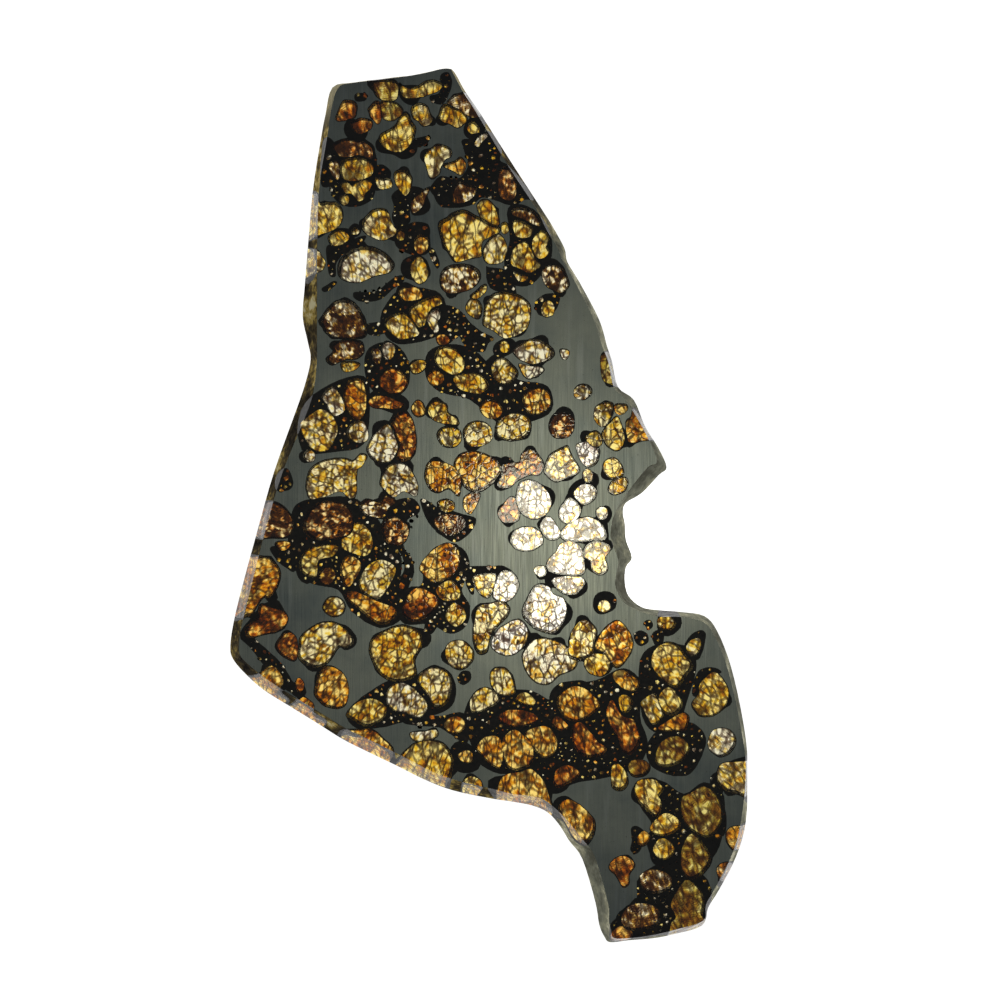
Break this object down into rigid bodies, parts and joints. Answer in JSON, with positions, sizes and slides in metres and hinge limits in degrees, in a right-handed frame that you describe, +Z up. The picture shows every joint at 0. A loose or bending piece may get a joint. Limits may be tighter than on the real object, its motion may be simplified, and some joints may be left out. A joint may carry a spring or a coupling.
{
  "type": "pallasite meteorite slice",
  "caption": "Thin polished slice of stony-iron meteorite: grey metal set through with see-through golden olivine crystals",
  "frame": {"origin": "the middle of the slice's box in plan, on its flat sawn back", "axes": "+Z is up out of the polished front; +Y runs along the slice's long side to its narrow top end; +X is to the right, seen from the front"},
  "size_m": [0.0782, 0.132, 0.003],
  "materials": {
    "iron_nickel": "polished and lightly etched iron-nickel, dark grey-green, with dark rims round the crystals",
    "olivine_amber": "polished see-through olivine, cracked inside, coloured by iron",
    "olivine_ember": "polished see-through olivine, cracked inside, coloured by iron",
    "olivine_gold": "polished see-through olivine, cracked inside, coloured by iron",
    "olivine_olive": "polished see-through olivine, cracked inside, coloured by iron",
    "olivine_pale": "polished see-through olivine, cracked inside, coloured by iron",
    "olivine_rust": "polished see-through olivine, cracked inside, coloured by iron",
    "olivine_straw": "polished see-through olivine, cracked inside, coloured by iron",
    "olivine_umber": "polished see-through olivine, cracked inside, coloured by iron",
    "olivine_bright": "polished see-through olivine, cracked inside, coloured by iron"
  },
  "bodies": {
    "root": {"metal_matrix": "iron_nickel", "barbell_crystal": "olivine_straw", "black_capped_crystal": "olivine_gold", "black_rimmed_crystal": "olivine_umber", "black_ringed_crystal": "olivine_straw", "bright_crystals": "olivine_bright", "central_crystals": "olivine_bright", "cream_crystals": "olivine_gold", "crown_crystals": "olivine_olive", "dark_heart_crystals": "olivine_ember", "dark_heart_south_crystals": "olivine_straw", "dim_north_crystal": "olivine_umber", "east_button_crystal": "olivine_pale", "east_edge_crystal": "olivine_amber", "east_gold_crystals": "olivine_gold", "east_point_crystals": "olivine_straw", "east_rim_crystal": "olivine_umber", "east_sliver_crystal": "olivine_olive", "east_twin_crystals": "olivine_gold", "flame_crystal": "olivine_amber", "foot_crystals": "olivine_olive", "great_north_crystals": "olivine_gold", "half_moon_crystal": "olivine_straw", "heart_crystals": "olivine_amber", "hook_crystal": "olivine_ember", "left_centre_crystals": "olivine_pale", "left_mosaic_crystals": "olivine_gold", "left_shoulder_crystals": "olivine_amber", "left_white_crystal": "olivine_bright", "middle_dark_crystals": "olivine_rust", "middle_straw_crystal": "olivine_straw", "mosaic_crystals": "olivine_straw", "north_button_crystal": "olivine_pale", "north_crystals": "olivine_straw", "north_east_crystals": "olivine_gold", "north_rim_crystals": "olivine_gold", "pale_oval_crystal": "olivine_pale", "sheaf_crystals": "olivine_amber", "south_crown_crystals": "olivine_straw", "south_east_crystals": "olivine_gold", "south_east_rim_crystal": "olivine_straw", "south_fan_crystals": "olivine_gold", "south_gold_crystals": "olivine_gold", "south_middle_crystals": "olivine_straw", "south_orange_crystals": "olivine_amber", "south_rim_amber_crystals": "olivine_amber", "south_rim_flame_crystal": "olivine_amber", "south_west_of_foot_crystal": "olivine_rust", "south_west_rim_crystal": "olivine_amber", "striped_east_crystal": "olivine_straw", "two_lobed_crystals": "olivine_straw", "upper_left_crystals": "olivine_gold", "upright_crystal": "olivine_gold", "west_dark_crystals": "olivine_umber", "west_edge_crystal": "olivine_ember", "west_low_crystals": "olivine_amber", "west_of_north_crystal": "olivine_straw", "west_rim_crystal": "olivine_gold", "west_rim_lower_crystal": "olivine_straw", "white_chain_crystals": "olivine_gold"}
  },
  "joints": []
}
